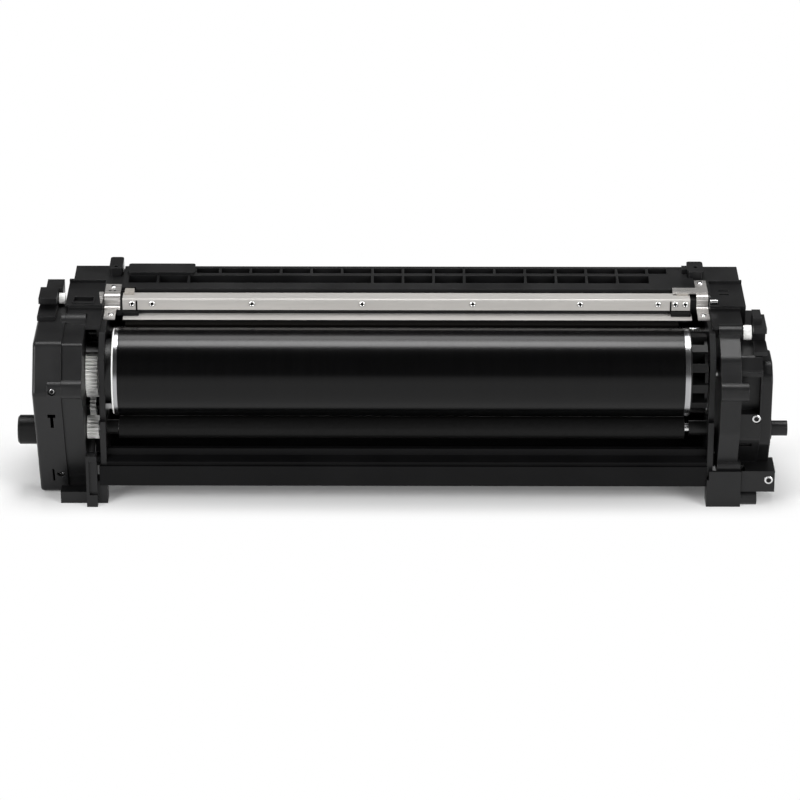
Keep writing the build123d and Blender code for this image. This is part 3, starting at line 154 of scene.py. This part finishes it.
# Soft parts: node, body, slot, voxel size, and the depth and scale of the uneven surface
SOFT_PARTS = (
    ("left_pad", "housing", "tan_felt", 0.2 * MM, 0.08 * MM, 1500.0),
    ("right_pad", "housing", "tan_felt", 0.2 * MM, 0.08 * MM, 1500.0),
    ("end_seals", "housing", "black_foam", 0.35 * MM, 0.08 * MM, 1200.0),
    ("brush_roller", "brush", "brush_fur", 0.9 * MM, 0.25 * MM, 700.0),
    ("cleaner_roller", "cleaner", "sponge", 0.7 * MM, 0.12 * MM, 900.0),
)
RELAX_SHARE, RELAX_STEPS = 0.5, 6

# The left strap's tongue: its outline as (x, y, lift)
TONGUE_OUTLINE = ((-207.3, 22.0, 1.2), (-203.9, 22.0, 1.2), (-203.9, 13.0, 0.5),
                  (-204.3, 5.5, 0.1), (-205.3, 5.5, 0.1), (-206.2, 13.0, 0.5))
TONGUE_Z = 124.1 * MM
TONGUE_T = 0.4 * MM

# The discs that stand for the straps' punched holes: their places as (x, y), and their size
STRAP_HOLES = ((-199.6, 20.5), (-196.5, 20.5), (201.9, 19.0), (205.1, 19.0))
STRAP_HOLE_R = 0.85 * MM
STRAP_HOLE_T = 0.04 * MM
STRAP_HOLE_SEGMENTS = 24


def new_material(name):
    material = bpy.data.materials.new(name)
    material.use_nodes = True
    material.node_tree.nodes.clear()
    return material


class Graph:
    """Short calls for building one material's nodes."""

    def __init__(self, material):
        self.tree = material.node_tree

    def add(self, kind, **settings):
        node = self.tree.nodes.new(kind)
        for key, value in settings.items():
            setattr(node, key, value)
        return node

    def link(self, source, target):
        self.tree.links.new(source, target)

    def coordinates(self, stretch=(1.0, 1.0, 1.0)):
        place = self.add("ShaderNodeTexCoord")
        mapping = self.add("ShaderNodeMapping")
        mapping.inputs["Scale"].default_value = stretch
        self.link(place.outputs["Object"], mapping.inputs["Vector"])
        return mapping.outputs["Vector"]

    def noise(self, vector, scale, detail=3.0, roughness=0.5):
        node = self.add("ShaderNodeTexNoise")
        node.inputs["Scale"].default_value = scale
        node.inputs["Detail"].default_value = detail
        node.inputs["Roughness"].default_value = roughness
        self.link(vector, node.inputs["Vector"])
        return node.outputs["Fac"]

    def ramp(self, factor, low, high):
        node = self.add("ShaderNodeValToRGB")
        first, last = node.color_ramp.elements
        first.position, last.position = NOISE_LOW, NOISE_HIGH
        first.color, last.color = (*low, 1.0), (*high, 1.0)
        self.link(factor, node.inputs["Fac"])
        return node.outputs["Color"]

    def span(self, factor, low, high):
        node = self.add("ShaderNodeMapRange")
        node.inputs["From Min"].default_value = NOISE_LOW
        node.inputs["From Max"].default_value = NOISE_HIGH
        node.inputs["To Min"].default_value = low
        node.inputs["To Max"].default_value = high
        self.link(factor, node.inputs["Value"])
        return node.outputs["Result"]

    def tints(self, factor, colour, shares):
        dark, light = (tuple(channel * share for channel in colour) for share in shares)
        return self.ramp(factor, dark, light)

    def gloss(self, factor, roughness, spread):
        below, above = spread
        return self.span(factor, roughness + below, min(1.0, roughness + above))

    def bump(self, height, strength, distance, normal=None):
        node = self.add("ShaderNodeBump")
        node.inputs["Strength"].default_value = strength
        node.inputs["Distance"].default_value = distance
        self.link(height, node.inputs["Height"])
        if normal is not None:
            self.link(normal, node.inputs["Normal"])
        return node.outputs["Normal"]

    def rounded(self, radius):
        node = self.add("ShaderNodeBevel", samples=4)
        node.inputs["Radius"].default_value = radius
        return node.outputs["Normal"]

    def shader(self, colour, roughness, normal=None, metallic=0.0, specular=0.5):
        node = self.add("ShaderNodeBsdfPrincipled")
        output = self.add("ShaderNodeOutputMaterial")
        self.link(colour, node.inputs["Base Color"])
        self.link(roughness, node.inputs["Roughness"])
        node.inputs["Metallic"].default_value = metallic
        node.inputs["Specular IOR Level"].default_value = specular
        if normal is not None:
            self.link(normal, node.inputs["Normal"])
        self.link(node.outputs["BSDF"], output.inputs["Surface"])
        return node


def moulded(name, colour, roughness=0.42, grain=0.5, specular=0.2, edge=0.35):
    """Satin moulded plastic: fine spark-eroded grain, soft patches of gloss and rounded edges."""
    material = new_material(name)
    graph = Graph(material)
    place = graph.coordinates()
    patches = graph.noise(place, MOULD_PATCHES)
    grains = graph.noise(place, MOULD_GRAINS, detail=2.0)
    tint = graph.tints(patches, colour, MOULD_TINTS)
    gloss = graph.gloss(patches, roughness, MOULD_GLOSS)
    normal = graph.bump(grains, grain, MOULD_DEPTH, graph.rounded(edge * MM))
    graph.shader(tint, gloss, normal, specular=specular)
    return material


def brushed(name, colour, roughness=0.45, metallic=0.3):
    """Plated sheet steel with its rolling grain along the sheet."""
    material = new_material(name)
    graph = Graph(material)
    streaks = graph.noise(graph.coordinates(STEEL_STREAK_STRETCH), STEEL_STREAKS, detail=4.0)
    clouds = graph.noise(graph.coordinates(STEEL_CLOUD_STRETCH), STEEL_CLOUDS)
    tint = graph.tints(clouds, colour, STEEL_TINTS)
    gloss = graph.gloss(streaks, roughness, STEEL_GLOSS)
    normal = graph.bump(streaks, STEEL_STRENGTH, STEEL_DEPTH, graph.rounded(STEEL_EDGE))
    graph.shader(tint, gloss, normal, metallic=metallic)
    return material


def turned(name, colour):
    """Turned steel: very fine rings of the tool, with bright edges."""
    material = new_material(name)
    graph = Graph(material)
    rings = graph.noise(graph.coordinates(TURNED_STRETCH), TURNED_RINGS, detail=2.0)
    tint = graph.tints(rings, colour, TURNED_TINTS)
    gloss = graph.gloss(rings, TURNED_ROUGHNESS, TURNED_GLOSS)
    normal = graph.bump(rings, TURNED_STRENGTH, TURNED_DEPTH, graph.rounded(TURNED_EDGE))
    graph.shader(tint, gloss, normal, metallic=1.0)
    return material


def drum_surface(name, coated, bare):
    """Dark photoconductor, glossy, that stops short of bare turned aluminium at both ends."""
    material = new_material(name)
    graph = Graph(material)
    place = graph.add("ShaderNodeTexCoord").outputs["Object"]
    split = graph.add("ShaderNodeSeparateXYZ")
    graph.link(place, split.inputs["Vector"])
    ends = []
    for operation, limit in (("LESS_THAN", COATED_LEFT), ("GREATER_THAN", COATED_RIGHT)):
        end = graph.add("ShaderNodeMath", operation=operation)
        end.inputs[1].default_value = limit
        graph.link(split.outputs["X"], end.inputs[0])
        ends.append(end)
    either = graph.add("ShaderNodeMath", operation="ADD")
    graph.link(ends[0].outputs[0], either.inputs[0])
    graph.link(ends[1].outputs[0], either.inputs[1])
    rings = graph.noise(graph.coordinates(DRUM_STRETCH), DRUM_RINGS)
    coating = graph.ramp(rings, *coated)
    metal = graph.ramp(rings, *bare)
    mix = graph.add("ShaderNodeMix", data_type="RGBA")
    graph.link(either.outputs[0], mix.inputs["Factor"])
    graph.link(coating, mix.inputs["A"])
    graph.link(metal, mix.inputs["B"])
    gloss = graph.span(rings, *DRUM_GLOSS)
    shader = graph.shader(mix.outputs["Result"], gloss, specular=DRUM_SPECULAR)
    graph.link(either.outputs[0], shader.inputs["Metallic"])
    return material


def soft(name, colour, roughness, scale, strength, depth, specular=0.2):
    """Rubber, foam, felt or fur: a matt surface with its own grain."""
    material = new_material(name)
    graph = Graph(material)
    place = graph.coordinates()
    grains = graph.noise(place, scale, detail=5.0, roughness=0.7)
    tint = graph.tints(grains, colour, SOFT_TINTS)
    gloss = graph.gloss(grains, roughness, SOFT_GLOSS)
    normal = graph.bump(grains, strength, depth)
    graph.shader(tint, gloss, normal, specular=specular)
    return material


# Each finish: what makes it, its colour and the rest that its maker takes
FINISHES = {
    "black_moulding": (moulded, (0.0055, 0.0055, 0.0058), {
        "roughness": 0.36, "specular": 0.3, "edge": 0.5}),
    # A darker, less glossy copy of the black moulding: painted shade
    "shaded_moulding": (moulded, (0.003, 0.003, 0.0032), {"specular": 0.1}),
    "black_acetal": (moulded, (0.005, 0.005, 0.005), {"roughness": 0.35, "grain": 0.3}),
    "plated_steel": (brushed, (0.47, 0.455, 0.435), {}),
    "sprung_steel": (brushed, (0.66, 0.64, 0.62), {"roughness": 0.3, "metallic": 0.8}),
    "bright_steel": (turned, (0.72, 0.72, 0.72), {}),
    "blade_rubber": (soft, (0.002, 0.0017, 0.0014), {
        "roughness": 0.7, "scale": 300.0, "strength": 0.2, "depth": 0.02 * MM, "specular": 0.04}),
    "tan_felt": (soft, (0.3, 0.28, 0.255), {
        "roughness": 0.95, "scale": 2400.0, "strength": 0.8, "depth": 0.15 * MM}),
    "white_acetal": (moulded, (0.9, 0.9, 0.88), {
        "roughness": 0.4, "grain": 0.15, "specular": 0.5, "edge": 0.12}),
    "film": (moulded, (0.02, 0.02, 0.02), {"roughness": 0.2, "grain": 0.1}),
    "grey_acetal": (moulded, (0.12, 0.12, 0.125), {
        "roughness": 0.4, "grain": 0.3, "specular": 0.4, "edge": 0.12}),
    "drum_coating": (drum_surface, COATING, {"bare": BARE_METAL}),
    "roller_rubber": (soft, (0.004, 0.004, 0.004), {
        "roughness": 0.35, "scale": 900.0, "strength": 0.15, "depth": 0.01 * MM, "specular": 0.12}),
    "sponge": (soft, (0.05, 0.05, 0.05), {
        "roughness": 0.9, "scale": 1800.0, "strength": 0.9, "depth": 0.2 * MM}),
    "black_foam": (soft, (0.008, 0.008, 0.008), {
        "roughness": 0.95, "scale": 1500.0, "strength": 0.9, "depth": 0.2 * MM, "specular": 0.1}),
    "brush_fur": (soft, (0.03, 0.03, 0.03), {
        "roughness": 0.95, "scale": 3000.0, "strength": 1.0, "depth": 0.3 * MM}),
}


def smooth(piece):
    """Round faces shade as round, and edges sharper than the angle stay sharp."""
    piece.data.shade_smooth()
    limit = math.radians(SHARP_ANGLE)
    mesh = bmesh.new()
    mesh.from_mesh(piece.data)
    for edge in mesh.edges:
        if len(edge.link_faces) == 2 and edge.calc_face_angle(0.0) > limit:
            edge.smooth = False
    mesh.to_mesh(piece.data)
    mesh.free()


def dress_nodes():
    """Every node takes the finish of its slot in the record."""
    made = {slot: build(slot, colour, **rest) for slot, (build, colour, rest) in FINISHES.items()}
    for part in frame["record"]["subparts"]:
        node = frame["nodes"][part["node"]]
        node.data.materials.clear()
        node.data.materials.append(made[part["material_slot"]])
    return made


def paint_front_edge_shade(node_name, finish):
    """Painted shade along a sheet's front: its front-facing faces take a dark finish."""
    node = frame["nodes"][node_name]
    node.data.materials.append(finish)
    for face in node.data.polygons:
        if face.normal.y < SHADE_FRONT_FACING:
            face.material_index = 1


def islands(node):
    """The low and high corners of each separate solid in a node's mesh."""
    mesh = bmesh.new()
    mesh.from_mesh(node.data)
    bmesh.ops.remove_doubles(mesh, verts=mesh.verts, dist=WELD)
    seen = set()
    boxes = []
    for start in mesh.verts:
        if start in seen:
            continue
        group, todo = [], [start]
        seen.add(start)
        while todo:
            vertex = todo.pop()
            group.append(vertex.co)
            for edge in vertex.link_edges:
                other = edge.other_vert(vertex)
                if other not in seen:
                    seen.add(other)
                    todo.append(other)
        low = Vector([min(point[i] for point in group) for i in range(3)])
        high = Vector([max(point[i] for point in group) for i in range(3)])
        boxes.append((low, high))
    mesh.free()
    return boxes


def lathe(mesh, profile):
    """A closed round body about Z from its profile of (radius, height) points."""
    rings = []
    for radius, height in profile:
        if radius == 0.0:
            rings.append([mesh.verts.new((0.0, 0.0, height))])
        else:
            turns = [k * math.tau / HEAD_SEGMENTS for k in range(HEAD_SEGMENTS)]
            rings.append([mesh.verts.new((radius * math.cos(t), radius * math.sin(t), height))
                          for t in turns])
    for lower, upper in zip(rings, rings[1:]):
        for k in range(HEAD_SEGMENTS):
            corners = [lower[k % len(lower)], lower[(k + 1) % len(lower)],
                       upper[(k + 1) % len(upper)], upper[k % len(upper)]]
            unique = list(dict.fromkeys(corners))
            if len(unique) > 2:
                mesh.faces.new(unique)


def object_from(mesh, name):
    data = bpy.data.meshes.new(name)
    mesh.to_mesh(data)
    mesh.free()
    made = bpy.data.objects.new(name, data)
    bpy.context.scene.collection.objects.link(made)
    return made


def evaluated(piece):
    """A new mesh with the piece's modifiers applied."""
    bpy.context.view_layer.update()
    graph = bpy.context.evaluated_depsgraph_get()
    return bpy.data.meshes.new_from_object(piece.evaluated_get(graph))


def cross_head(radius, crown):
    """One pan head about +Z, its underside at 0, with a cross recess and the neck of its shank."""
    mesh = bmesh.new()
    neck = ((0.0, -NECK_DEPTH * radius), (NECK_R * radius, -NECK_DEPTH * radius),
            (NECK_R * radius, 0.0))
    lathe(mesh, (*neck, *((across * radius, up * HEAD_HEIGHT) for across, up in HEAD_RIM + crown)))
    bmesh.ops.recalc_face_normals(mesh, faces=mesh.faces)
    head = object_from(mesh, "head")
    for turn in (0.0, math.pi / 2):
        cutter_mesh = bmesh.new()
        bmesh.ops.create_cube(cutter_mesh, size=1.0)
        for vertex in cutter_mesh.verts:
            taper = 1.0 if vertex.co.z > 0 else CROSS_TAPER
            vertex.co.x *= CROSS_LENGTH * radius * taper
            vertex.co.y *= CROSS_WIDTH * radius * taper
            vertex.co.z = vertex.co.z * CROSS_DEPTH * HEAD_HEIGHT + HEAD_HEIGHT
        bmesh.ops.rotate(cutter_mesh, verts=cutter_mesh.verts, cent=(0, 0, 0),
                         matrix=Matrix.Rotation(turn + math.radians(CROSS_TURN), 3, "Z"))
        cutter = object_from(cutter_mesh, "cutter")
        cut = head.modifiers.new("cross", "BOOLEAN")
        cut.operation = "DIFFERENCE"
        cut.object = cutter
        carved = evaluated(head)
        head.modifiers.clear()
        head.data = carved
        bpy.data.objects.remove(cutter)
    # Faces deep in the recess take the dark finish: painted shade.
    for face in head.data.polygons:
        across, up = face.center.to_2d().length, face.center.z
        if across < RECESS_R * radius and RECESS_LOW * radius < up < RECESS_HIGH * HEAD_HEIGHT:
            face.material_index = 1
    return head


def dress_screws(node_name, towards, crown, finish, recess_shade_finish):
    """Cross-headed screws in the places of a node's plain ones, each facing the given way."""
    node = frame["nodes"][node_name]
    group = bmesh.new()
    turn = Vector(towards).to_track_quat("Z", "Y").to_matrix().to_4x4()
    for index, (low, high) in enumerate(islands(node)):
        radius = (high.x - low.x) / 2
        head = cross_head(radius, crown)
        centre = (low + high) / 2
        tip = Vector([high[i] if towards[i] > 0 else low[i] if towards[i] < 0 else centre[i]
                      for i in range(3)])
        spin = Matrix.Rotation(index * SCREW_TURN, 4, "Z")
        seat = Matrix.Translation(tip - Vector(towards) * HEAD_HEIGHT)
        head.data.transform(seat @ turn @ spin)
        group.from_mesh(head.data)
        bpy.data.objects.remove(head)
    screws = object_from(group, node_name + "_crossed")
    screws.data.materials.append(finish)
    screws.data.materials.append(recess_shade_finish)
    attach(screws, "housing")
    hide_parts(node_name)
    return screws


def napped(node_name, body, finish, voxel, depth, scale):
    """A soft part in a node's place, with rounded edges and an uneven surface."""
    piece = bpy.data.objects.new(node_name + "_soft", frame["nodes"][node_name].data.copy())
    bpy.context.scene.collection.objects.link(piece)
    even = piece.modifiers.new("even", "REMESH")
    even.mode = "VOXEL"
    even.voxel_size = voxel
    relaxed = piece.modifiers.new("relaxed", "SMOOTH")
    relaxed.factor, relaxed.iterations = RELAX_SHARE, RELAX_STEPS
    surface = evaluated(piece)
    piece.modifiers.clear()
    piece.data = surface
    shifts = [vertex.normal * noise.noise(vertex.co * scale) * depth for vertex in surface.vertices]
    for vertex, shift in zip(surface.vertices, shifts):
        vertex.co += shift
    surface.shade_smooth()
    surface.materials.clear()
    surface.materials.append(finish)
    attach(piece, body)
    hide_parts(node_name)


def strap_tongue(finish):
    """The thin tongue beside the left strap, on the second level of the left end's top."""
    mesh = bmesh.new()
    rings = []
    for thickness in (0.0, TONGUE_T):
        rings.append([mesh.verts.new((x * MM, y * MM, TONGUE_Z + lift * MM + thickness))
                      for x, y, lift in TONGUE_OUTLINE])
    mesh.faces.new(rings[1])
    mesh.faces.new(reversed(rings[0]))
    for k in range(len(TONGUE_OUTLINE)):
        after = (k + 1) % len(TONGUE_OUTLINE)
        mesh.faces.new((rings[0][k], rings[0][after], rings[1][after], rings[1][k]))
    bmesh.ops.recalc_face_normals(mesh, faces=mesh.faces)
    tongue = object_from(mesh, "left_strap_tongue")
    tongue.data.materials.append(finish)
    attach(tongue, "housing")


def strap_holes(finish):
    """Thin dark discs on top of the straps, standing for the pair of punched holes in each; their
    dark is the black plastic below with painted shade.
    """
    top = max(vertex.co.z for vertex in frame["nodes"]["left_strap"].data.vertices)
    mesh = bmesh.new()
    for x, y in STRAP_HOLES:
        bmesh.ops.create_cone(mesh, cap_ends=True, segments=STRAP_HOLE_SEGMENTS,
                              radius1=STRAP_HOLE_R, radius2=STRAP_HOLE_R, depth=STRAP_HOLE_T,
                              matrix=Matrix.Translation((x * MM, y * MM, top)))
    holes = object_from(mesh, "strap_holes")
    holes.data.materials.append(finish)
    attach(holes, "housing")


def floor_material():
    material = new_material("floor_white")
    graph = Graph(material)
    place = graph.coordinates()
    clouds = graph.noise(place, FLOOR_CLOUDS)
    tint = graph.ramp(clouds, *FLOOR_TINTS)
    matt = graph.add("ShaderNodeBsdfDiffuse")
    graph.link(tint, matt.inputs["Color"])
    glow = graph.add("ShaderNodeEmission")
    glow.inputs["Color"].default_value = (1.0, 1.0, 1.0, 1.0)
    glow.inputs["Strength"].default_value = 1.0
    path = graph.add("ShaderNodeLightPath")
    seen = graph.add("ShaderNodeMath", operation="MAXIMUM")
    graph.link(path.outputs["Is Camera Ray"], seen.inputs[0])
    graph.link(path.outputs["Is Glossy Ray"], seen.inputs[1])
    shown = graph.add("ShaderNodeMath", operation="MAXIMUM")
    graph.link(seen.outputs[0], shown.inputs[0])
    graph.link(path.outputs["Is Transmission Ray"], shown.inputs[1])
    far = graph.add("ShaderNodeVectorMath", operation="LENGTH")
    graph.link(graph.coordinates((GLOW_STRETCH, 1.0, 1.0)), far.inputs[0])
    share = graph.add("ShaderNodeMapRange", interpolation_type="SMOOTHSTEP")
    share.inputs["From Min"].default_value = GLOW_NEAR
    share.inputs["From Max"].default_value = GLOW_FAR
    share.inputs["To Min"].default_value = FLOOR_GLOW
    share.inputs["To Max"].default_value = 1.0
    graph.link(far.outputs["Value"], share.inputs["Value"])
    amount = graph.add("ShaderNodeMath", operation="MULTIPLY")
    graph.link(shown.outputs[0], amount.inputs[0])
    graph.link(share.outputs["Result"], amount.inputs[1])
    mix = graph.add("ShaderNodeMixShader")
    output = graph.add("ShaderNodeOutputMaterial")
    graph.link(amount.outputs[0], mix.inputs["Fac"])
    graph.link(matt.outputs["BSDF"], mix.inputs[1])
    graph.link(glow.outputs["Emission"], mix.inputs[2])
    graph.link(mix.outputs["Shader"], output.inputs["Surface"])
    return material


def make_floor():
    bpy.ops.mesh.primitive_plane_add(size=FLOOR_SIZE, location=(0.0, 0.0, 0.0))
    floor = bpy.context.object
    floor.name = "floor"
    floor.data.materials.append(floor_material())


def direction(azimuth, elevation):
    """From the origin, with azimuth 0 towards the camera's side and 90 towards +X."""
    side, up = math.radians(azimuth), math.radians(elevation)
    return Vector((math.sin(side) * math.cos(up), -math.cos(side) * math.cos(up), math.sin(up)))


def softbox(name, azimuth, elevation, distance, width, depth, radiance):
    lamp = bpy.data.lights.new(name, "AREA")
    lamp.shape = "RECTANGLE"
    lamp.size, lamp.size_y = width, depth
    lamp.energy = radiance * math.pi * width * depth
    lamp_object = bpy.data.objects.new(name, lamp)
    bpy.context.scene.collection.objects.link(lamp_object)
    away = direction(azimuth, elevation)
    lamp_object.location = LIGHT_AIM + away * distance
    lamp_object.rotation_euler = away.to_track_quat("Z", "Y").to_euler()


def make_lights():
    softbox("top", 0.0, TOP_ELEVATION, TOP_DISTANCE, TOP_WIDTH, TOP_DEPTH, TOP_RADIANCE)
    softbox("rear", 0.0, REAR_ELEVATION, TOP_DISTANCE, TOP_WIDTH, REAR_DEPTH, REAR_RADIANCE)
    for sign, side in ((-1.0, "left"), (1.0, "right")):
        softbox(f"side_{side}", sign * SIDE_AZIMUTH, SIDE_ELEVATION, SIDE_DISTANCE,
                SIDE_SIZE, SIDE_SIZE, SIDE_RADIANCE)
        softbox(f"fill_{side}", sign * FILL_AZIMUTH, FILL_ELEVATION, FILL_DISTANCE,
                FILL_SIZE, FILL_SIZE, FILL_RADIANCE)


def make_world():
    """Dark above, with a pale band along the horizon that the low views show."""
    world = bpy.data.worlds.new("studio")
    world.use_nodes = True
    bpy.context.scene.world = world
    tree = world.node_tree
    tree.nodes.clear()
    place = tree.nodes.new("ShaderNodeTexCoord")
    split = tree.nodes.new("ShaderNodeSeparateXYZ")
    fade = tree.nodes.new("ShaderNodeMapRange")
    background = tree.nodes.new("ShaderNodeBackground")
    output = tree.nodes.new("ShaderNodeOutputWorld")
    fade.inputs["From Min"].default_value = BAND_FULL
    fade.inputs["From Max"].default_value = BAND_GONE
    fade.inputs["To Min"].default_value = HORIZON_RADIANCE
    fade.inputs["To Max"].default_value = WORLD_DARK
    tree.links.new(place.outputs["Generated"], split.inputs["Vector"])
    tree.links.new(split.outputs["Z"], fade.inputs["Value"])
    tree.links.new(fade.outputs["Result"], background.inputs["Strength"])
    tree.links.new(background.outputs["Background"], output.inputs["Surface"])


def make_camera():
    lens = bpy.data.cameras.new("camera")
    lens.lens = CAMERA_LENS
    lens.sensor_width = CAMERA_SENSOR
    lens.clip_end = CAMERA_REACH
    camera = bpy.data.objects.new("camera", lens)
    bpy.context.scene.collection.objects.link(camera)
    away = direction(0.0, CAMERA_PITCH)
    roll = Matrix.Rotation(math.radians(CAMERA_ROLL), 4, "Z")
    turn = away.to_track_quat("Z", "Y").to_matrix().to_4x4() @ roll
    camera.matrix_world = Matrix.Translation(CAMERA_AIM + away * CAMERA_DISTANCE) @ turn
    bpy.context.scene.camera = camera


finishes = dress_nodes()
for node in frame["nodes"].values():
    smooth(node)
# The blade holder's front edge is painted dark as shade.
paint_front_edge_shade("blade_holder", finishes["black_acetal"])
for node_name, finish in OTHER_FINISHES:
    frame["nodes"][node_name].data.materials[0] = finishes[finish]
strap_tongue(finishes["sprung_steel"])
strap_holes(finishes["shaded_moulding"])
# The screws' recesses take the black acetal as painted shade.
for node_name, towards, crown in SCREWS:
    smooth(dress_screws(node_name, towards, crown,
                        finishes["bright_steel"], finishes["black_acetal"]))
for node_name, body, slot, voxel, depth, scale in SOFT_PARTS:
    napped(node_name, body, finishes[slot], voxel, depth, scale)
make_floor()
make_lights()
make_world()
make_camera()
bpy.context.scene.view_settings.view_transform = "Standard"
